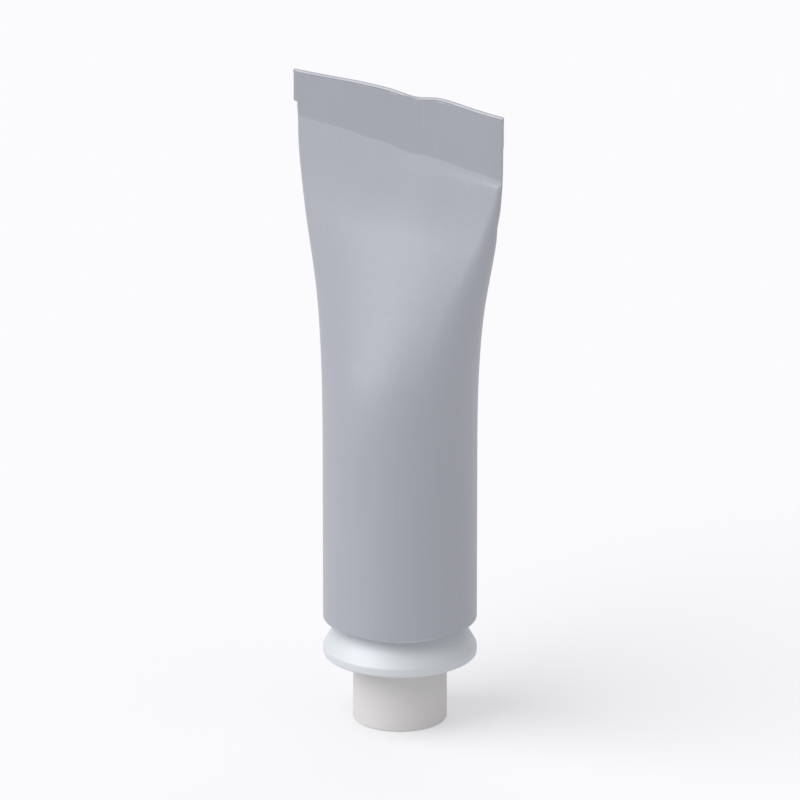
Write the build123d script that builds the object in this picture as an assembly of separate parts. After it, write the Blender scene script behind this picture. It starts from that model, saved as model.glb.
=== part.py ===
from build123d import *

import os
from math import atan, cos, pi, sin

# Aluminium squeeze tube, filled and sealed, standing on its screw cap.
# Millimetres. +Z is up along the tube's axis, and the folded tail lies along X.
# The origin is the centre of the cap's flat end, which the tube stands on.

# Screw cap
cap_height = 14.6
cap_skirt = 1.2
cap_slot = 0.6
cap_end_wall = 1.5
cap_foot_recess = 0.4
cap_foot_rim = 2.2
cap_foot_round = 0.5
cap_mouth_round = 0.3
cap_sleeve = 1.1
cap_webs = 8
cap_web_thickness = 0.9
cap_slot_floor = 1.2
cap_web_setback = 1.2

# Sealing disc inside the cap
liner_thickness = 1.0
liner_clearance = 0.1

# Threaded neck and its sealed nozzle
neck_core_radius = 6.9
neck_tip_chamfer = 0.4
nozzle_radius = 3.0
nozzle_recess = 1.5
thread_pitch = 2.5
thread_depth = 0.7
thread_root_width = 1.3
thread_crest_width = 0.6
thread_overlap = 0.3
thread_clearance = 0.2
thread_end_gap = 0.8

# Bare shoulder ring and the groove above it
cap_to_shoulder = 0.3
shoulder_rise = 0.7
ring_band = 2.0
ring_bevel = 0.4
groove_mouth = 6.9
groove_depth = 3.7
groove_undercut = 1.4

# Tube body, from round to flat
tube_radius = 17.5
straight_length = 46.2
taper_length = 70.5
taper_sharpness = 1.95
tail_spread = 1.03
crown_at_round = 0.35
taper_sections = 14

# Folded tail: the flattened wall turned over twice towards +Y
sheet = 0.36
layer_gap = 0.04
fold_height = 7.4
fold_overhang = 0.6
body_to_fold_step = 0.02

# Heights that follow from the sizes above
liner_z = cap_foot_recess + cap_end_wall
nozzle_z = liner_z + liner_thickness
neck_root_z = cap_height + cap_to_shoulder
ring_z = neck_root_z + shoulder_rise
groove_z = ring_z + ring_band
body_z = groove_z + groove_mouth
taper_z = body_z + straight_length
fold_z = taper_z + taper_length
top_z = fold_z + fold_height

# Widths that follow from the sizes above
tail_half_width = tail_spread * tube_radius * pi / 2
thread_radius = neck_core_radius + thread_depth
cap_bore_radius = thread_radius + thread_clearance
cap_thread_radius = cap_bore_radius - thread_depth
sleeve_radius = cap_bore_radius + cap_sleeve
skirt_inner_radius = sleeve_radius + cap_slot
cap_radius = skirt_inner_radius + cap_skirt

# Where the thread runs on the neck
thread_z = nozzle_z + thread_end_gap + thread_root_width / 2
thread_length = neck_root_z - thread_end_gap - thread_root_width / 2 - thread_z


def outline(points):
    """Closed face in the XZ plane from (radius, height) corners."""
    corners = [*points, points[0]]
    return Plane.XZ * make_face(Polyline(*corners))


def turned(points):
    """Solid of revolution about Z from (radius, height) corners."""
    return revolve(outline(points), Axis.Z)


def plug(radius, bottom, height):
    """Plain cylinder about Z, standing on a given height."""
    return Pos(0, 0, bottom) * Cylinder(
        radius, height, align=(Align.CENTER, Align.CENTER, Align.MIN)
    )


def screw_thread(root_radius, crest_radius, start_z, length):
    """One helical ridge, right-handed, rooted in the wall that carries it."""
    outwards = 1 if crest_radius > root_radius else -1
    buried = root_radius - outwards * thread_overlap
    flank = (thread_root_width - thread_crest_width) / 2 / thread_depth
    half_crest = thread_crest_width / 2
    half_buried = thread_root_width / 2 + flank * thread_overlap
    path = Helix(thread_pitch, length, root_radius, center=(0, 0, start_z))
    profile = outline(
        [
            (buried, start_z - half_buried),
            (crest_radius, start_z - half_crest),
            (crest_radius, start_z + half_crest),
            (buried, start_z + half_buried),
        ]
    )
    return sweep(profile, path=path, is_frenet=True)


def flattening(share):
    """How flat the tube is, 0 round to 1 flat, at a share of the taper's length."""
    rise = share**taper_sharpness
    rest = (1 - share) ** taper_sharpness
    return rise / (rise + rest)


def tube_section(share):
    """Section of the tapering body: four tangent arcs, a true circle at share 0."""
    flat = flattening(share)
    half_sheet = sheet / 2 - body_to_fold_step
    half_depth = tube_radius + (half_sheet - tube_radius) * flat
    half_width = tube_radius + (tail_half_width - tube_radius) * flat
    crown = crown_at_round * (half_depth / tube_radius) ** 2
    end_radius = (half_depth - half_width * crown) / (1 - crown)
    turn = 2 * atan(crown)
    corner_x = half_width - end_radius + end_radius * sin(turn)
    corner_y = end_radius * cos(turn)
    outline_edges = [
        ThreePointArc((corner_x, -corner_y), (half_width, 0), (corner_x, corner_y)),
        ThreePointArc((corner_x, corner_y), (0, half_depth), (-corner_x, corner_y)),
        ThreePointArc((-corner_x, corner_y), (-half_width, 0), (-corner_x, -corner_y)),
        ThreePointArc((-corner_x, -corner_y), (0, -half_depth), (corner_x, -corner_y)),
    ]
    return Pos(0, 0, taper_z + share * taper_length) * make_face(outline_edges)


def tapering_body():
    """Upper body, from the round tube to the flat web under the fold."""
    shares = [i / (taper_sections - 1) for i in range(taper_sections)]
    return loft([tube_section(share) for share in shares])


def layer(offset, bottom, top):
    """One flat layer of the folded sheet, in the YZ plane."""
    middle = (bottom + top) / 2
    return Plane.YZ * Pos(offset, middle) * Rectangle(sheet, top - bottom)


def bend(offset, height, radius, upwards):
    """Half-ring where the sheet turns back on itself, in the YZ plane."""
    ring = Circle(radius + sheet / 2) - Circle(radius - sheet / 2)
    reach = radius + sheet
    side = 1 if upwards else -1
    half = Pos(0, side * reach / 2) * Rectangle(2 * reach, reach)
    return Plane.YZ * Pos(offset, height) * (ring & half)


def folded_tail():
    """The web turned over backwards and tucked in under itself."""
    tucked = sheet + layer_gap
    back = 2 * tucked
    upper_bend_z = top_z - tucked - sheet / 2
    lower_bend_z = fold_z + (back - tucked) / 2 + sheet / 2
    tucked_top_z = upper_bend_z - layer_gap
    profile = layer(0, fold_z, upper_bend_z)
    profile += bend(back / 2, upper_bend_z, back / 2, upwards=True)
    profile += layer(back, lower_bend_z, upper_bend_z)
    profile += bend((tucked + back) / 2, lower_bend_z, (back - tucked) / 2, upwards=False)
    profile += layer(tucked, lower_bend_z, tucked_top_z)
    return extrude(profile, tail_half_width + fold_overhang, both=True)


def neck():
    """Threaded neck with a nozzle closed by its thin membrane."""
    blank = turned(
        [
            (0, nozzle_z),
            (neck_core_radius - neck_tip_chamfer, nozzle_z),
            (neck_core_radius, nozzle_z + neck_tip_chamfer),
            (neck_core_radius, neck_root_z + shoulder_rise),
            (0, neck_root_z + shoulder_rise),
        ]
    )
    blank += screw_thread(neck_core_radius, thread_radius, thread_z, thread_length)
    return blank - plug(nozzle_radius, nozzle_z, nozzle_recess)


def make_tube():
    """The whole tube: neck, shoulder ring, groove, round body, taper and fold."""
    shell = turned(
        [
            (0, neck_root_z),
            (neck_core_radius, neck_root_z),
            (tube_radius - ring_bevel, ring_z),
            (tube_radius, ring_z + ring_bevel),
            (tube_radius, groove_z),
            (tube_radius - groove_depth, body_z - groove_undercut),
            (tube_radius, body_z),
            (tube_radius, taper_z),
            (0, taper_z),
        ]
    )
    tube = shell + tapering_body()
    tube += folded_tail()
    tube += neck()
    return tube


def cap_slot_ring():
    """Ring-shaped hollow between skirt and sleeve, divided by the webs."""
    slot_z = liner_z + cap_slot_floor
    slot_height = cap_height - slot_z
    slot = plug(skirt_inner_radius, slot_z, slot_height)
    slot -= plug(sleeve_radius, slot_z, slot_height)
    web = Pos(0, 0, slot_z) * Box(
        2 * cap_radius,
        cap_web_thickness,
        slot_height - cap_web_setback,
        align=(Align.CENTER, Align.CENTER, Align.MIN),
    )
    for i in range(cap_webs // 2):
        slot -= Rot(0, 0, 360 * i / cap_webs) * web
    return slot


def make_cap():
    """Moulded cap: outer skirt, threaded sleeve and the webs between them."""
    cap = plug(cap_radius, 0, cap_height)
    cap = fillet(cap.edges().sort_by(Axis.Z)[0], cap_foot_round)
    cap = fillet(cap.edges().sort_by(Axis.Z)[-1], cap_mouth_round)
    cap -= plug(cap_radius - cap_foot_rim, 0, cap_foot_recess)
    cap -= plug(cap_bore_radius, liner_z, cap_height - liner_z)
    cap -= cap_slot_ring()
    # Half a pitch out of step with the neck's ridge, so the two mesh
    half_pitch = thread_pitch / 2
    cap += screw_thread(
        cap_bore_radius,
        cap_thread_radius,
        thread_z + half_pitch,
        thread_length - half_pitch,
    )
    return cap


def make_cap_liner():
    """Round sealing disc, face to face with the cap's floor and the nozzle."""
    return plug(cap_thread_radius - liner_clearance, liner_z, liner_thickness)


os.makedirs("parts", exist_ok=True)
export_step(make_tube(), "parts/tube.step")
export_step(make_cap(), "parts/cap.step")
export_step(make_cap_liner(), "parts/cap_liner.step")
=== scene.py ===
"""Looks of a filled aluminium squeeze tube that stands on its screw cap.

Metres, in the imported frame: +Z is up along the tube, and the folded tail lies along X, turned over
towards +Y.
"""
import math

import bmesh
import bpy
from mathutils import Matrix, Vector, noise


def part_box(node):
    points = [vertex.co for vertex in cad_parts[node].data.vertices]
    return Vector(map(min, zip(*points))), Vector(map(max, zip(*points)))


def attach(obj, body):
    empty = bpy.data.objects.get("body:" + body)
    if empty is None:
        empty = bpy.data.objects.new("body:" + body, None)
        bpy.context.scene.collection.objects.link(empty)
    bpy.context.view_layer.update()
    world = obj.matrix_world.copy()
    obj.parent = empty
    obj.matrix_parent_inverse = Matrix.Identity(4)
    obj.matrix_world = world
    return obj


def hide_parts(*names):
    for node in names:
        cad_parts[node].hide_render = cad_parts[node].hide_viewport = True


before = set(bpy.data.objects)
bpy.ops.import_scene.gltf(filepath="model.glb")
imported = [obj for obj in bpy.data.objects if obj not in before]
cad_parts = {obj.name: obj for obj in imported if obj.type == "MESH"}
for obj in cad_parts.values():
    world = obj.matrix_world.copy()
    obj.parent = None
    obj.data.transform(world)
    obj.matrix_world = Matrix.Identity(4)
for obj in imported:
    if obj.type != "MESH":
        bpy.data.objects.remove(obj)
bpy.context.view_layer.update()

MM = 0.001

# Places that the frame gives
TUBE_LOW, TUBE_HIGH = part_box("tube")
CAP_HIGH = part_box("cap")[1]
LINER_LOW, LINER_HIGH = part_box("cap_liner")
NOZZLE_Z = TUBE_LOW.z
TOP_Z = TUBE_HIGH.z
TUBE_RADIUS = TUBE_HIGH.y
FOLD_HALF_WIDTH = TUBE_HIGH.x
CAP_RADIUS = CAP_HIGH.x
CAP_HEIGHT = CAP_HIGH.z

# Neck and screw thread
NECK_RADIUS = 6.9 * MM
NECK_CHAMFER = 0.4 * MM
NOZZLE_RADIUS = 3.0 * MM
NOZZLE_RECESS = 1.5 * MM
THREAD_PITCH = 2.5 * MM
THREAD_DEPTH = 0.7 * MM
THREAD_ROOT_WIDTH = 1.3 * MM
THREAD_CREST_WIDTH = 0.6 * MM
THREAD_OVERLAP = 0.3 * MM
THREAD_CLEARANCE = 0.2 * MM
THREAD_END_GAP = 0.8 * MM
THREAD_STEPS_PER_TURN = 72

# Shoulder ring and groove
CAP_TO_SHOULDER = 0.3 * MM
SHOULDER_RISE = 0.7 * MM
RING_BAND = 2.0 * MM
RING_BEVEL = 0.4 * MM
GROOVE_MOUTH = 6.9 * MM
GROOVE_DEPTH = 3.7 * MM
GROOVE_UNDERCUT = 1.4 * MM
FLANK_BULGE = 0.35 * MM
LACQUER_EDGE = 0.3 * MM

# Body, from round to flat
TAPER_LENGTH = 70.5 * MM
TAPER_SHARPNESS = 1.95
TAIL_HALF_WIDTH = 1.03 * TUBE_RADIUS * math.pi / 2
CROWN_AT_ROUND = 0.35
CROWN_POWER = 1.5
RIM_BAND = 3 * MM
FACE_Z = 76 * MM
FACE_KNEE = 10 * MM
LIP_Z = 122 * MM
LIP_KNEE = 5 * MM
LIP_SLOPE = 0.15
WIDTH_SHARE = 0.56
COLUMNS = 288
TAPER_ROWS = 68
WEB_ROWS = 6
STRAIGHT_ROWS = 16

# Folded tail and the flat pressed web under it
FOLD_HEIGHT = 7.4 * MM
FOLD_STEP = 0.12 * MM
SHEET = 0.36 * MM
LAYER_GAP = 0.04 * MM
FOLD_LEFT = -FOLD_HALF_WIDTH - 1.0 * MM
FOLD_RIGHT = FOLD_HALF_WIDTH - 0.25 * MM
FOLD_TUCK = 0.7 * MM
FLARE_LEFT = 0.6 * MM
FLARE_RIGHT = 0.3 * MM
FLARE_HEIGHT = 22 * MM
WEB_HEIGHT = 5.4 * MM
WEB_TILT = 0.078
WEB_EDGE = 0.25 * MM
FOLD_COLUMNS = 120
FOLD_ROWS = 8
BEND_STEPS = 8

# Unevenness that filling and folding leave
UNEVEN_BELOW_WEB = 14 * MM
SWAY = 0.5 * MM
SWAY_LENGTH = 8.5 * MM
SWAY_START = 0.4
SWAY_FULL_X = 12 * MM
SWAY_END_X = 34 * MM
SWELLS = (
    (-12 * MM, 11 * MM, 0.55 * MM), (3.5 * MM, 4.5 * MM, -0.65 * MM),
    (11 * MM, 5 * MM, 0.3 * MM), (30 * MM, 12 * MM, -0.9 * MM),
)
WEB_WAVE_BAND = 0.3 * MM
WEB_WAVE_REACH = 5.2 * MM
RIPPLE = 0.45 * MM
RIPPLE_LENGTH = 6 * MM
RIPPLE_ROW = 5.3
KINK_Z = 121.5 * MM
KINK_DEPTH = 0.25 * MM
KINK_REACH = 2.4 * MM
KINK_START_X = 18 * MM
KINK_FULL_X = 25 * MM

# Cap
CAP_SKIRT = 1.2 * MM
CAP_FOOT_RECESS = 0.4 * MM
CAP_FOOT_RIM = 2.2 * MM
CAP_SLEEVE = 1.1 * MM
CAP_WEBS = 8
CAP_WEB_THICKNESS = 0.9 * MM
CAP_WEB_SETBACK = 1.2 * MM
CAP_SLOT_FLOOR = 1.2 * MM
CAP_COLUMNS = 192
GATE_RADIUS = 0.9 * MM
GATE_DEPTH = 0.15 * MM

# Sealing disc
PRINT_DEPTH = 0.06 * MM
LINER_COLUMNS = CAP_COLUMNS // 2

# Rounded corners and smooth shading
ARC_STEPS = 5
SMOOTH_ANGLE = math.radians(35)

# Colours
SATIN_GREY = (0.372, 0.385, 0.427, 1)
NO_TINT = (1, 1, 1, 1)
# Darkening of the pressed web and tail: partly a duller pressed finish, partly painted shade of the
# upright web under the fold
PRESSED_SHADE_TINT = (0.9, 0.9, 0.9, 1)
RUBBED_SATIN = (0.66, 0.68, 0.72, 1)
BARE_METAL = (0.585, 0.613, 0.637, 1)
RUBBED_METAL = (0.9, 0.92, 0.94, 1)
OFF_WHITE = (0.62, 0.607, 0.6, 1)
RUBBED_WHITE = (0.84, 0.825, 0.81, 1)
PALE_FOAM = (0.82, 0.8, 0.76, 1)

# Finish
GRAIN_DETAIL = 4.0
PATCH_DETAIL = 3.0
RUB_DETAIL = 2.0
EDGE_SAMPLES = 4
EDGE_GAIN = 8.0
PATCH_GAIN = 2.5
PATCH_START = -0.6
LATHE_LINES_PER_METRE = 4200

# Heights, radii and lengths that follow
NECK_ROOT_Z = CAP_HEIGHT + CAP_TO_SHOULDER
RING_Z = NECK_ROOT_Z + SHOULDER_RISE
GROOVE_Z = RING_Z + RING_BAND
BODY_Z = GROOVE_Z + GROOVE_MOUTH
APEX_Z = BODY_Z - GROOVE_UNDERCUT
FOLD_Z = TOP_Z - FOLD_HEIGHT
WEB_Z = FOLD_Z - WEB_HEIGHT
LIP_DROP = LIP_SLOPE * (WEB_Z - LIP_Z)
FACE_SLOPE = (TUBE_RADIUS - SHEET / 2 - LIP_DROP) / (LIP_Z - FACE_Z)
LAYER_PITCH = SHEET + LAYER_GAP
UPPER_BEND_Z = TOP_Z - LAYER_PITCH - SHEET / 2
LOWER_BEND_Z = FOLD_Z + LAYER_PITCH / 2 + SHEET / 2
TAPER_Z = FOLD_Z - TAPER_LENGTH
THREAD_RADIUS = NECK_RADIUS + THREAD_DEPTH
BORE_RADIUS = THREAD_RADIUS + THREAD_CLEARANCE
BORE_THREAD_RADIUS = BORE_RADIUS - THREAD_DEPTH
THREAD_Z = NOZZLE_Z + THREAD_END_GAP + THREAD_ROOT_WIDTH / 2
THREAD_LENGTH = NECK_ROOT_Z - THREAD_END_GAP - THREAD_ROOT_WIDTH / 2 - THREAD_Z


# ---------------------------------------------------------------- mesh helpers
def rounded(corners, radii):
    """Points of a (radius, height) outline with its inner corners rounded by arcs."""
    points = [Vector(corners[0])]
    for before, corner, after, radius in zip(corners, corners[1:], corners[2:], radii):
        corner = Vector(corner)
        into = (Vector(before) - corner).normalized()
        out = (Vector(after) - corner).normalized()
        half = into.angle(out) / 2
        if radius <= 0 or half > math.pi / 2 - 0.01:
            points.append(corner)
            continue
        reach = radius / math.tan(half)
        centre = corner + (into + out).normalized() * radius / math.sin(half)
        start = corner + into * reach - centre
        end = corner + out * reach - centre
        sweep = start.angle_signed(end)
        for i in range(ARC_STEPS + 1):
            points.append(centre + Matrix.Rotation(-sweep * i / ARC_STEPS, 2) @ start)
    points.append(Vector(corners[-1]))
    return points


def turned(bm, points, columns):
    """Spins a (radius, height) outline about Z, and merges its poles."""
    verts = [bm.verts.new((p.x, 0, p.y)) for p in points]
    edges = [bm.edges.new(pair) for pair in zip(verts, verts[1:])]
    bmesh.ops.spin(
        bm, geom=verts + edges, cent=(0, 0, 0), axis=(0, 0, 1), angle=2 * math.pi,
        steps=columns, use_merge=True,
    )
    bmesh.ops.remove_doubles(bm, verts=bm.verts, dist=0.001 * MM)


def screw_ridge(bm, root_radius, crest_radius, start_z, length):
    """One right-handed helical ridge with closed ends, rooted in the wall that carries it."""
    outwards = 1 if crest_radius > root_radius else -1
    buried = root_radius - outwards * THREAD_OVERLAP
    flank = (THREAD_ROOT_WIDTH - THREAD_CREST_WIDTH) / 2 / THREAD_DEPTH
    half_crest = THREAD_CREST_WIDTH / 2
    half_buried = THREAD_ROOT_WIDTH / 2 + flank * THREAD_OVERLAP
    corners = [
        (buried, -half_buried), (crest_radius, -half_crest),
        (crest_radius, half_crest), (buried, half_buried),
    ]
    turns = length / THREAD_PITCH
    steps = round(turns * THREAD_STEPS_PER_TURN)
    face = bm.faces.new([bm.verts.new((r, 0, start_z + z)) for r, z in corners])
    bmesh.ops.spin(
        bm, geom=[face], cent=(0, 0, 0), axis=(0, 0, 1), dvec=(0, 0, length / steps),
        angle=2 * math.pi * turns, steps=steps,
    )


def drawn_up(bm, rim, heights):
    """Extrudes an open rim upwards row by row, and returns the last rim."""
    for height in heights:
        made = bmesh.ops.extrude_edge_only(bm, edges=rim)["geom"]
        for vert in (g for g in made if isinstance(g, bmesh.types.BMVert)):
            vert.co.z = height
        rim = [g for g in made if isinstance(g, bmesh.types.BMEdge) and g.is_boundary]
    return rim


def finished(bm, name, materials):
    """Closes up a bmesh as an object at the origin with outward, smooth faces."""
    bmesh.ops.recalc_face_normals(bm, faces=bm.faces)
    mesh = bpy.data.meshes.new(name)
    bm.to_mesh(mesh)
    bm.free()
    for material in materials:
        mesh.materials.append(material)
    mesh.shade_smooth()
    mesh.set_sharp_from_angle(angle=SMOOTH_ANGLE)
    piece = bpy.data.objects.new(name, mesh)
    bpy.context.scene.collection.objects.link(piece)
    return piece


# ---------------------------------------------------------------- tube
def flattening(height):
    """How flat the tube is at a height, 0 round to 1 flat."""
    share = min(max((height - TAPER_Z) / TAPER_LENGTH, 0), 1)
    rise = share**TAPER_SHARPNESS
    rest = (1 - share) ** TAPER_SHARPNESS
    return rise / (rise + rest)


def fade(value, start, end):
    """Smooth 0 to 1 as a value goes from start to end."""
    share = min(max((value - start) / (end - start), 0), 1)
    return share * share * (3 - 2 * share)


def eased(distance, reach):
    """How far a line has run past a corner that is rounded for a reach on either side."""
    if distance < -reach:
        return 0
    if distance > reach:
        return distance
    return (distance + reach) ** 2 / (4 * reach)


def half_depth_at(height):
    """Half the tube's depth: a straight face, then a shallow lip that stops at the pressed web."""
    if height > WEB_Z:
        return SHEET / 2
    face = FACE_SLOPE * eased(height - FACE_Z, FACE_KNEE)
    lip = (FACE_SLOPE - LIP_SLOPE) * eased(height - LIP_Z, LIP_KNEE)
    return TUBE_RADIUS - face + lip


def half_width_at(height):
    """Half the tube's width: the taper's own, and a share of the depth that the face takes off."""
    flat = flattening(height)
    width = TUBE_RADIUS + (TAIL_HALF_WIDTH - TUBE_RADIUS) * flat
    depth = TUBE_RADIUS + (SHEET / 2 - TUBE_RADIUS) * flat
    return math.sqrt(width**2 + WIDTH_SHARE * (depth**2 - half_depth_at(height) ** 2))


def around_tube(angle, height):
    """Point of the tube's wall at a height, and at a share of its girth told as an angle."""
    half_depth = half_depth_at(height)
    half_width = half_width_at(height)
    crown = CROWN_AT_ROUND * (half_depth / TUBE_RADIUS) ** CROWN_POWER
    end_radius = (half_depth - half_width * crown) / (1 - crown)
    turn = 2 * math.atan(crown)
    end_centre = half_width - end_radius
    face_radius = end_radius + (end_centre / math.sin(turn) if end_centre > 0 else 0)
    end_length = end_radius * (math.pi / 2 - turn)
    quarter = end_length + face_radius * turn
    quadrant, share = divmod(angle / (math.pi / 2), 1)
    mirrored = quadrant % 2 == 1
    along = quarter * (1 - share if mirrored else share)
    if along < end_length:
        x = end_centre + end_radius * math.cos(along / end_radius)
        y = end_radius * math.sin(along / end_radius)
    else:
        left = turn - (along - end_length) / face_radius
        x = face_radius * math.sin(left)
        y = half_depth - face_radius * (1 - math.cos(left))
    x = -x if quadrant in (1, 2) else x
    y = -y if quadrant in (2, 3) else y
    return Vector((x, y, height))


def hand_closed(bm):
    """The unevenness that filling and folding leave: a wavy tail, an uneven web edge and a kink."""
    for vert in bm.verts:
        x, z = vert.co.x, vert.co.z
        tail = fade(z, WEB_Z - UNEVEN_BELOW_WEB, TOP_Z)
        wave = math.sin(x / SWAY_LENGTH + SWAY_START) * fade(abs(x), SWAY_END_X, SWAY_FULL_X)
        vert.co.y += SWAY * tail * wave
        for centre, reach, height in SWELLS:
            vert.co.z += tail * height * math.exp(-(((x - centre) / reach) ** 2))
        near_web = 1 - fade(abs(z - WEB_Z), WEB_WAVE_BAND, WEB_WAVE_REACH)
        ripple = noise.noise(Vector((x / RIPPLE_LENGTH, RIPPLE_ROW, 0)))
        vert.co.z -= near_web * (WEB_TILT * x + RIPPLE * ripple)
        kink = math.exp(-(((z - KINK_Z) / KINK_REACH) ** 2))
        vert.co.x -= KINK_DEPTH * (kink * fade(x, KINK_START_X, KINK_FULL_X))


def spread_tail(bm):
    """The tail flares a little, and its folded end stands past the wall on the left."""
    for vert in bm.verts:
        x, z = vert.co.x, vert.co.z
        flare = FLARE_LEFT if x < 0 else FLARE_RIGHT
        wanted = TAIL_HALF_WIDTH + flare * fade(z, FOLD_Z - FLARE_HEIGHT, FOLD_Z)
        if z > FOLD_Z + FOLD_STEP / 2:
            wanted = -FOLD_LEFT if x < 0 else FOLD_RIGHT
        vert.co.x = x * wanted / TAIL_HALF_WIDTH


def mark_pressed_and_shaded(bm, everywhere=False):
    """Stores on each point whether the closing jaws pressed it flat; the wall's finish is darker
    there, partly as painted shade.
    """
    layer = bm.verts.layers.float.new("pressed")
    for vert in bm.verts:
        vert[layer] = 1.0 if everywhere or vert.co.z > WEB_Z - WEB_EDGE / 2 else 0.0


def make_wall(materials):
    """One closed wall from the neck and its thread to the pressed web and the fold's front."""
    corners = [
        (0, NOZZLE_Z + NOZZLE_RECESS),
        (NOZZLE_RADIUS, NOZZLE_Z + NOZZLE_RECESS),
        (NOZZLE_RADIUS, NOZZLE_Z),
        (NECK_RADIUS - NECK_CHAMFER, NOZZLE_Z),
        (NECK_RADIUS, NOZZLE_Z + NECK_CHAMFER),
        (NECK_RADIUS, NECK_ROOT_Z),
        (TUBE_RADIUS - RING_BEVEL, RING_Z),
        (TUBE_RADIUS, RING_Z + RING_BEVEL),
        (TUBE_RADIUS, GROOVE_Z),
        (TUBE_RADIUS - GROOVE_DEPTH / 2 + FLANK_BULGE, (GROOVE_Z + APEX_Z) / 2),
        (TUBE_RADIUS - GROOVE_DEPTH, APEX_Z),
        (TUBE_RADIUS, BODY_Z),
        (TUBE_RADIUS, BODY_Z + RIM_BAND),
    ]
    radii = [r * MM for r in (0.2, 0.15, 0.2, 0.3, 0.3, 0.3, 0.4, 0.6, 12, 0.3, 0.2)]
    bm = bmesh.new()
    turned(bm, rounded(corners, radii), COLUMNS)
    straight = [
        BODY_Z + RIM_BAND + (TAPER_Z - BODY_Z - RIM_BAND) * (i + 1) / STRAIGHT_ROWS
        for i in range(STRAIGHT_ROWS)
    ]
    taper_top = WEB_Z - WEB_EDGE
    taper = [TAPER_Z + (taper_top - TAPER_Z) * (i + 1) / TAPER_ROWS for i in range(TAPER_ROWS)]
    web = [WEB_Z + (FOLD_Z - WEB_Z) * i / WEB_ROWS for i in range(WEB_ROWS + 1)]
    fold_low = FOLD_Z + FOLD_STEP
    fold = [fold_low + (UPPER_BEND_Z - fold_low) * i / FOLD_ROWS for i in range(FOLD_ROWS + 1)]
    rim = drawn_up(bm, [e for e in bm.edges if e.is_boundary], straight + taper + web + fold)
    for vert in bm.verts:
        if vert.co.z > FACE_Z - FACE_KNEE:
            angle = math.atan2(vert.co.y, vert.co.x) % (2 * math.pi)
            vert.co = around_tube(angle, vert.co.z)
    bmesh.ops.contextual_create(bm, geom=rim)
    mark_pressed_and_shaded(bm)
    spread_tail(bm)
    hand_closed(bm)
    screw_ridge(bm, NECK_RADIUS, THREAD_RADIUS, THREAD_Z, THREAD_LENGTH)
    for face in bm.faces:
        bare = face.calc_center_median().z < BODY_Z - LACQUER_EDGE
        face.material_index = 1 if bare else 0
    return finished(bm, "tube_wall", materials)


def make_fold(materials):
    """What lies behind the tail's front layer: the same sheet turned back over it and tucked in."""
    back = 2 * LAYER_PITCH
    rows = [i / FOLD_ROWS for i in range(1, FOLD_ROWS + 1)]
    turns = [math.pi * i / BEND_STEPS for i in range(1, BEND_STEPS + 1)]
    upper_reach = back / 2
    lower_reach = LAYER_PITCH / 2
    path = [(0, UPPER_BEND_Z)]
    path += [
        (upper_reach * (1 - math.cos(a)), UPPER_BEND_Z + upper_reach * math.sin(a)) for a in turns
    ]
    path += [(back, UPPER_BEND_Z + (LOWER_BEND_Z - UPPER_BEND_Z) * row) for row in rows]
    path += [
        (back - lower_reach * (1 - math.cos(a)), LOWER_BEND_Z - lower_reach * math.sin(a))
        for a in turns
    ]
    tucked_height = UPPER_BEND_Z - LAYER_GAP - LOWER_BEND_Z
    path += [(LAYER_PITCH, LOWER_BEND_Z + tucked_height * row) for row in rows]
    bm = bmesh.new()
    verts = [bm.verts.new((FOLD_LEFT, y, z)) for y, z in path]
    rim = [bm.edges.new(pair) for pair in zip(verts, verts[1:])]
    for _ in range(FOLD_COLUMNS):
        made = bmesh.ops.extrude_edge_only(bm, edges=rim)["geom"]
        new = [g for g in made if isinstance(g, bmesh.types.BMVert)]
        bmesh.ops.translate(bm, verts=new, vec=((FOLD_RIGHT - FOLD_LEFT) / FOLD_COLUMNS, 0, 0))
        rim = [
            g for g in made
            if isinstance(g, bmesh.types.BMEdge) and all(v in new for v in g.verts)
        ]
    for vert in bm.verts:
        if vert.co.x > 0:
            vert.co.x *= 1 - FOLD_TUCK / FOLD_RIGHT * fade(vert.co.y, 0, back)
    mark_pressed_and_shaded(bm, everywhere=True)
    hand_closed(bm)
    piece = finished(bm, "tail_fold", materials)
    thickness = piece.modifiers.new("sheet", "SOLIDIFY")
    thickness.thickness = SHEET
    thickness.offset = 0
    return piece


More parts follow.
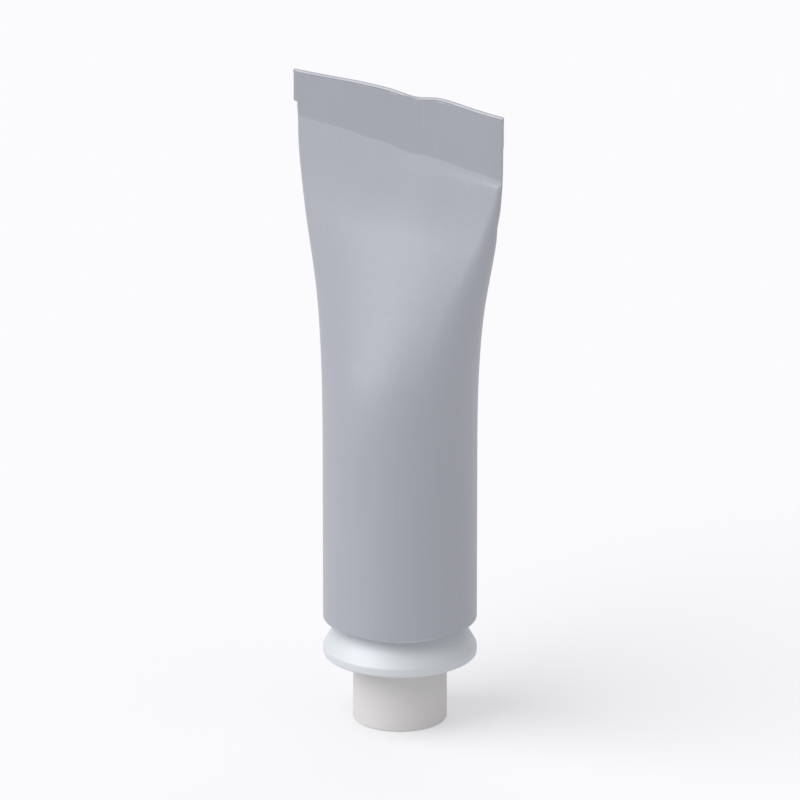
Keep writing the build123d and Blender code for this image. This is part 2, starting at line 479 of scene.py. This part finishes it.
# ---------------------------------------------------------------- cap and liner
def make_cap(materials):
    """Skirt, end wall, threaded sleeve and webs of the moulded cap."""
    sleeve = BORE_RADIUS + CAP_SLEEVE
    skirt = CAP_RADIUS - CAP_SKIRT
    foot = CAP_RADIUS - CAP_FOOT_RIM
    slot_z = LINER_LOW.z + CAP_SLOT_FLOOR
    corners = [
        (0, CAP_FOOT_RECESS + GATE_DEPTH),
        (GATE_RADIUS, CAP_FOOT_RECESS + GATE_DEPTH),
        (GATE_RADIUS, CAP_FOOT_RECESS),
        (foot, CAP_FOOT_RECESS),
        (foot, 0),
        (CAP_RADIUS, 0),
        (CAP_RADIUS, CAP_HEIGHT),
        (skirt, CAP_HEIGHT),
        (skirt, slot_z),
        (sleeve, slot_z),
        (sleeve, CAP_HEIGHT),
        (BORE_RADIUS, CAP_HEIGHT),
        (BORE_RADIUS, LINER_LOW.z),
        (0, LINER_LOW.z),
    ]
    radii = [0.05, 0.05, 0.15, 0.15, 0.5, 0.3, 0.15, 0.2, 0.2, 0.15, 0.3, 0.2]
    bm = bmesh.new()
    turned(bm, rounded(corners, [r * MM for r in radii]), CAP_COLUMNS)
    web_height = CAP_HEIGHT - slot_z - CAP_WEB_SETBACK
    web_length = skirt - sleeve + CAP_SLEEVE / 2
    for i in range(CAP_WEBS):
        place = (
            Matrix.Rotation(2 * math.pi * i / CAP_WEBS, 4, "Z")
            @ Matrix.Translation(((skirt + sleeve) / 2, 0, slot_z + web_height / 2))
            @ Matrix.Diagonal((web_length, CAP_WEB_THICKNESS, web_height, 1))
        )
        bmesh.ops.create_cube(bm, size=1, matrix=place)
    screw_ridge(
        bm, BORE_RADIUS, BORE_THREAD_RADIUS, THREAD_Z + THREAD_PITCH / 2,
        THREAD_LENGTH - THREAD_PITCH / 2,
    )
    return finished(bm, "screw_cap", materials)


def make_liner(materials):
    """Round sealing disc with the shallow print of the nozzle's rim."""
    radius = LINER_HIGH.x
    corners = [
        (0, LINER_LOW.z),
        (radius, LINER_LOW.z),
        (radius, LINER_HIGH.z),
        (NECK_RADIUS - NECK_CHAMFER, LINER_HIGH.z),
        (NECK_RADIUS - 2 * NECK_CHAMFER, LINER_HIGH.z - PRINT_DEPTH),
        (NOZZLE_RADIUS + NECK_CHAMFER, LINER_HIGH.z - PRINT_DEPTH),
        (NOZZLE_RADIUS, LINER_HIGH.z),
        (0, LINER_HIGH.z),
    ]
    radii = [r * MM for r in (0.1, 0.1, 0.05, 0.05, 0.05, 0.05)]
    bm = bmesh.new()
    turned(bm, rounded(corners, radii), LINER_COLUMNS)
    return finished(bm, "sealing_disc", materials)


# ---------------------------------------------------------------- shared effects
def new_group(name, inputs, outputs):
    """Empty shader group with named sockets; returns it with its two end nodes."""
    group = bpy.data.node_groups.new(name, "ShaderNodeTree")
    for title, kind in inputs:
        group.interface.new_socket(title, in_out="INPUT", socket_type=f"NodeSocket{kind}")
    for title, kind in outputs:
        group.interface.new_socket(title, in_out="OUTPUT", socket_type=f"NodeSocket{kind}")
    return group, group.nodes.new("NodeGroupInput"), group.nodes.new("NodeGroupOutput")


def feed(tree, socket, value):
    """Gives an input its value: another socket, or plain numbers."""
    if isinstance(value, bpy.types.NodeSocket):
        tree.links.new(value, socket)
    else:
        socket.default_value = value


def maths(tree, operation, first, second=0.0, third=0.0, clamp=False):
    """One Math node; each operand is a socket or a number."""
    node = tree.nodes.new("ShaderNodeMath")
    node.operation = operation
    node.use_clamp = clamp
    for socket, value in zip(node.inputs, (first, second, third)):
        feed(tree, socket, value)
    return node.outputs[0]


def scaled(tree, vector, scale):
    """A vector times an (x, y, z) of numbers."""
    node = tree.nodes.new("ShaderNodeVectorMath")
    node.operation = "MULTIPLY"
    tree.links.new(vector, node.inputs[0])
    node.inputs[1].default_value = scale
    return node.outputs[0]


def blended(tree, share, first, second):
    """Colour mix; each colour is a socket or an (r, g, b, a)."""
    node = tree.nodes.new("ShaderNodeMix")
    node.data_type = "RGBA"
    # Inputs 6 and 7 are the mix's two colours
    for name, value in (("Factor", share), (6, first), (7, second)):
        feed(tree, node.inputs[name], value)
    return node.outputs[2]


def noise_height(tree, vector, detail):
    """Noise at the vector's own scale, as a height from 0 to 1."""
    texture = tree.nodes.new("ShaderNodeTexNoise")
    texture.inputs["Scale"].default_value = 1.0
    texture.inputs["Detail"].default_value = detail
    tree.links.new(vector, texture.inputs["Vector"])
    return texture.outputs["Fac"]


def make_fine_grain():
    """Noise that varies a colour and a roughness about their middle, and gives a height."""
    group, given, put = new_group(
        "fine_grain",
        [("Vector", "Vector"), ("Color", "Color"), ("Spread", "Float"),
         ("Roughness", "Float"), ("Roughness Spread", "Float")],
        [("Color", "Color"), ("Roughness", "Float"), ("Height", "Float")],
    )
    height = noise_height(group, given.outputs["Vector"], GRAIN_DETAIL)
    swing = maths(group, "MULTIPLY_ADD", height, 2.0, -1.0)
    gain = maths(group, "MULTIPLY_ADD", swing, given.outputs["Spread"], 1.0)
    tint = group.nodes.new("ShaderNodeVectorMath")
    tint.operation = "SCALE"
    group.links.new(given.outputs["Color"], tint.inputs[0])
    group.links.new(gain, tint.inputs["Scale"])
    rough = maths(
        group, "MULTIPLY_ADD", swing, given.outputs["Roughness Spread"], given.outputs["Roughness"]
    )
    group.links.new(tint.outputs[0], put.inputs["Color"])
    group.links.new(rough, put.inputs["Roughness"])
    group.links.new(height, put.inputs["Height"])
    return group


def make_edge_wear():
    """Mask that finds a shape's edges and breaks them up."""
    group, given, put = new_group(
        "edge_wear",
        [("Vector", "Vector"), ("Width", "Float"), ("Strength", "Float")],
        [("Mask", "Float")],
    )
    bevel = group.nodes.new("ShaderNodeBevel")
    bevel.samples = EDGE_SAMPLES
    group.links.new(given.outputs["Width"], bevel.inputs["Radius"])
    surface = group.nodes.new("ShaderNodeNewGeometry")
    likeness = group.nodes.new("ShaderNodeVectorMath")
    likeness.operation = "DOT_PRODUCT"
    group.links.new(bevel.outputs[0], likeness.inputs[0])
    group.links.new(surface.outputs["Normal"], likeness.inputs[1])
    edge = maths(
        group, "MULTIPLY_ADD", likeness.outputs["Value"], -EDGE_GAIN, EDGE_GAIN, clamp=True
    )
    patches = noise_height(group, given.outputs["Vector"], PATCH_DETAIL)
    broken = maths(group, "MULTIPLY_ADD", patches, PATCH_GAIN, PATCH_START, clamp=True)
    mask = maths(group, "MULTIPLY", edge, broken)
    group.links.new(
        maths(group, "MULTIPLY", mask, given.outputs["Strength"], clamp=True), put.inputs["Mask"]
    )
    return group


def make_handling_marks():
    """Mask of short faint rub marks that lie along the vector's longest way."""
    group, given, put = new_group(
        "handling_marks",
        [("Vector", "Vector"), ("Patch Vector", "Vector"), ("Strength", "Float")],
        [("Mask", "Float")],
    )
    masks = []
    for title, gain, start in (("Vector", 7.0, -4.4), ("Patch Vector", 4.0, -2.0)):
        patches = noise_height(group, given.outputs[title], RUB_DETAIL)
        masks.append(maths(group, "MULTIPLY_ADD", patches, gain, start, clamp=True))
    mask = maths(group, "MULTIPLY", masks[0], masks[1])
    group.links.new(
        maths(group, "MULTIPLY", mask, given.outputs["Strength"], clamp=True), put.inputs["Mask"]
    )
    return group


FINE_GRAIN = make_fine_grain()
EDGE_WEAR = make_edge_wear()
HANDLING_MARKS = make_handling_marks()


# ---------------------------------------------------------------- materials
def new_finish(name):
    """A new material, its tree, its Principled shader and its Object coordinates."""
    material = bpy.data.materials.new(name)
    material.use_nodes = True
    tree = material.node_tree
    place = tree.nodes.new("ShaderNodeTexCoord").outputs["Object"]
    return material, tree, tree.nodes["Principled BSDF"], place


def placed(tree, group, **values):
    """Puts a shared effect in a material; values are sockets or numbers by input name."""
    node = tree.nodes.new("ShaderNodeGroup")
    node.node_tree = group
    for name, value in values.items():
        feed(tree, node.inputs[name.replace("_", " ")], value)
    return node


def rubbed(tree, shader, mask, colour, rubbed_colour, roughness, polish):
    """Base colour and roughness of a finish that is lighter and smoother where the mask is."""
    tree.links.new(blended(tree, mask, colour, rubbed_colour), shader.inputs["Base Color"])
    tree.links.new(
        maths(tree, "MULTIPLY_ADD", mask, -polish, roughness), shader.inputs["Roughness"]
    )


def raised(tree, shader, height, depth):
    """Bump of a real depth on the shader's normal."""
    bump = tree.nodes.new("ShaderNodeBump")
    bump.inputs["Strength"].default_value = 1.0
    bump.inputs["Distance"].default_value = depth
    tree.links.new(height, bump.inputs["Height"])
    tree.links.new(bump.outputs["Normal"], shader.inputs["Normal"])


def satin_aluminium():
    """Clear-lacquered drawn wall: streaks along the tube, soft clouding, and a duller, darker
    pressed tail whose darkening is partly painted shade of the upright web.
    """
    material, tree, shader, place = new_finish("satin_aluminium")
    pressed = tree.nodes.new("ShaderNodeAttribute")
    pressed.attribute_name = "pressed"
    clouds = placed(
        tree, FINE_GRAIN, Vector=scaled(tree, place, (60, 60, 35)),
        Color=SATIN_GREY, Spread=0.035, Roughness=0.46, Roughness_Spread=0.05,
    )
    streaks = placed(
        tree, FINE_GRAIN, Vector=scaled(tree, place, (2600, 2600, 55)),
        Color=clouds.outputs["Color"], Spread=0.05,
        Roughness=clouds.outputs["Roughness"], Roughness_Spread=0.07,
    )
    # The pressed web and tail are darkened: partly a duller finish, partly painted shade of the
    # upright web under the fold
    dull_and_shade = blended(tree, pressed.outputs["Fac"], NO_TINT, PRESSED_SHADE_TINT)
    toned = tree.nodes.new("ShaderNodeVectorMath")
    toned.operation = "MULTIPLY"
    tree.links.new(streaks.outputs["Color"], toned.inputs[0])
    tree.links.new(dull_and_shade, toned.inputs[1])
    wear = placed(
        tree, EDGE_WEAR, Vector=scaled(tree, place, (700, 700, 700)), Width=0.22 * MM, Strength=0.5
    )
    marks = placed(
        tree, HANDLING_MARKS, Vector=scaled(tree, place, (1900, 1900, 110)),
        Patch_Vector=scaled(tree, place, (90, 90, 60)), Strength=0.12,
    )
    lighter = maths(tree, "ADD", wear.outputs["Mask"], marks.outputs["Mask"], clamp=True)
    rubbed(
        tree, shader, lighter, toned.outputs[0], RUBBED_SATIN,
        roughness=streaks.outputs["Roughness"], polish=0.12,
    )
    shader.inputs["Metallic"].default_value = 0.35
    raised(tree, shader, streaks.outputs["Height"], depth=0.012 * MM)
    return material


def turned_aluminium():
    """Bare bright metal with fine lathe lines round the axis."""
    material, tree, shader, place = new_finish("turned_aluminium")
    split = tree.nodes.new("ShaderNodeSeparateXYZ")
    tree.links.new(place, split.inputs[0])
    radius = maths(tree, "POWER", maths(
        tree, "ADD",
        maths(tree, "MULTIPLY", split.outputs["X"], split.outputs["X"]),
        maths(tree, "MULTIPLY", split.outputs["Y"], split.outputs["Y"]),
    ), 0.5)
    lathe = tree.nodes.new("ShaderNodeCombineXYZ")
    tree.links.new(maths(tree, "MULTIPLY", radius, LATHE_LINES_PER_METRE), lathe.inputs["X"])
    tree.links.new(
        maths(tree, "MULTIPLY", split.outputs["Z"], LATHE_LINES_PER_METRE), lathe.inputs["Y"]
    )
    lines = placed(
        tree, FINE_GRAIN, Vector=lathe.outputs[0], Color=BARE_METAL, Spread=0.05,
        Roughness=0.55, Roughness_Spread=0.08,
    )
    wear = placed(
        tree, EDGE_WEAR, Vector=scaled(tree, place, (900, 900, 900)), Width=0.25 * MM, Strength=0.6
    )
    marks = placed(
        tree, HANDLING_MARKS, Vector=scaled(tree, place, (140, 140, 2400)),
        Patch_Vector=scaled(tree, place, (160, 160, 160)), Strength=0.25,
    )
    lighter = maths(tree, "ADD", wear.outputs["Mask"], marks.outputs["Mask"], clamp=True)
    rubbed(
        tree, shader, lighter, lines.outputs["Color"], RUBBED_METAL,
        roughness=lines.outputs["Roughness"], polish=0.1,
    )
    shader.inputs["Metallic"].default_value = 0.2
    raised(tree, shader, lines.outputs["Height"], depth=0.01 * MM)
    return material


def moulded_plastic():
    """Off-white matte cap: fine spark-eroded grain, faint flow clouding, polished edges."""
    material, tree, shader, place = new_finish("moulded_plastic")
    flow = placed(
        tree, FINE_GRAIN, Vector=scaled(tree, place, (140, 140, 60)),
        Color=OFF_WHITE, Spread=0.03, Roughness=0.58, Roughness_Spread=0.05,
    )
    grain = placed(
        tree, FINE_GRAIN, Vector=scaled(tree, place, (5200, 5200, 5200)),
        Color=flow.outputs["Color"], Spread=0.03,
        Roughness=flow.outputs["Roughness"], Roughness_Spread=0.06,
    )
    wear = placed(
        tree, EDGE_WEAR, Vector=scaled(tree, place, (800, 800, 800)), Width=0.3 * MM, Strength=0.35
    )
    rubbed(
        tree, shader, wear.outputs["Mask"], grain.outputs["Color"], RUBBED_WHITE,
        roughness=grain.outputs["Roughness"], polish=0.2,
    )
    raised(tree, shader, grain.outputs["Height"], depth=0.02 * MM)
    return material


def pressed_foam():
    """Pale closed-cell sealing foam."""
    material, tree, shader, place = new_finish("pressed_foam")
    cells = placed(
        tree, FINE_GRAIN, Vector=scaled(tree, place, (3200, 3200, 3200)),
        Color=PALE_FOAM, Spread=0.08, Roughness=0.82, Roughness_Spread=0.08,
    )
    tree.links.new(cells.outputs["Color"], shader.inputs["Base Color"])
    tree.links.new(cells.outputs["Roughness"], shader.inputs["Roughness"])
    raised(tree, shader, cells.outputs["Height"], depth=0.06 * MM)
    return material


# ---------------------------------------------------------------- setting
VIEW_AZIMUTH = math.radians(36.8)
VIEW_ELEVATION = math.radians(18.65)
VIEW_DISTANCE = 2.0
VIEW_TARGET = Vector((0, 0, 76.1 * MM))
FRAME_WIDTH = 180.505415 * MM
SENSOR_MM = 36
CLIP_NEAR = 0.01
CLIP_FAR = 50
FLOOR_HALF_SIDE = 6
FLOOR_COLOUR = (0.4, 0.397, 0.405, 1)
FLOOR_GLOW = (0.99, 0.98, 1, 1)
FLOOR_GLOW_STRENGTH = 0.435
ROOM_COLOUR = (0.98, 0.98, 1, 1)
ROOM_STRENGTH = 0.42
LIGHT_SPREAD = math.radians(60)


def direction(azimuth, elevation):
    """Unit vector from the object towards an azimuth and elevation."""
    return Vector((
        math.sin(azimuth) * math.cos(elevation),
        -math.cos(azimuth) * math.cos(elevation),
        math.sin(elevation),
    ))


def make_camera():
    """A long lens that looks down a little at the tube, from the front and the right."""
    camera = bpy.data.cameras.new("camera")
    camera.sensor_width = SENSOR_MM
    camera.lens = VIEW_DISTANCE / FRAME_WIDTH * SENSOR_MM
    camera.clip_start = CLIP_NEAR
    camera.clip_end = CLIP_FAR
    rig = bpy.data.objects.new("camera", camera)
    back = direction(VIEW_AZIMUTH, VIEW_ELEVATION)
    rig.location = VIEW_TARGET + back * VIEW_DISTANCE
    rig.rotation_euler = back.to_track_quat("Z", "Y").to_euler()
    bpy.context.scene.collection.objects.link(rig)
    bpy.context.scene.camera = rig


def make_floor():
    """A wide matt floor that glows a little, so that it stays pale and takes a faint shadow."""
    bm = bmesh.new()
    bmesh.ops.create_grid(bm, x_segments=2, y_segments=2, size=FLOOR_HALF_SIDE)
    material = bpy.data.materials.new("pale_floor")
    material.use_nodes = True
    shader = material.node_tree.nodes["Principled BSDF"]
    shader.inputs["Base Color"].default_value = FLOOR_COLOUR
    shader.inputs["Emission Color"].default_value = FLOOR_GLOW
    shader.inputs["Emission Strength"].default_value = FLOOR_GLOW_STRENGTH
    shader.inputs["Roughness"].default_value = 1.0
    shader.inputs["Specular IOR Level"].default_value = 0.0
    finished(bm, "floor", [material])


def broad_light(name, azimuth, elevation, strength):
    """A large soft source so far off that it lights the whole floor alike."""
    light = bpy.data.lights.new(name, "SUN")
    light.energy = strength
    light.angle = LIGHT_SPREAD
    lamp = bpy.data.objects.new(name, light)
    towards = direction(math.radians(azimuth), math.radians(elevation))
    lamp.rotation_euler = towards.to_track_quat("Z", "Y").to_euler()
    bpy.context.scene.collection.objects.link(lamp)


def make_lights():
    """A pale room, a broad light from the upper left, and weak ones from the right and behind."""
    world = bpy.data.worlds.new("studio")
    world.use_nodes = True
    background = world.node_tree.nodes["Background"]
    background.inputs["Color"].default_value = ROOM_COLOUR
    background.inputs["Strength"].default_value = ROOM_STRENGTH
    bpy.context.scene.world = world
    broad_light("key", -32, 50, 2.9)
    broad_light("fill", 105, 60, 0.45)
    broad_light("back", 205, 40, 0.45)


wall_metal = satin_aluminium()
pieces = (
    (make_wall([wall_metal, turned_aluminium()]), "tube_body", "tube_aluminium", "tube"),
    (make_fold([wall_metal]), "tube_body", "tube_aluminium", "tube"),
    (make_cap([moulded_plastic()]), "cap_body", "cap_plastic", "cap"),
    (make_liner([pressed_foam()]), "liner_body", "liner_foam", "cap_liner"),
)
for piece, body, slot, node in pieces:
    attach(piece, body)
    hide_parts(node)

make_floor()
make_camera()
make_lights()
bpy.context.scene.view_settings.view_transform = "Standard"
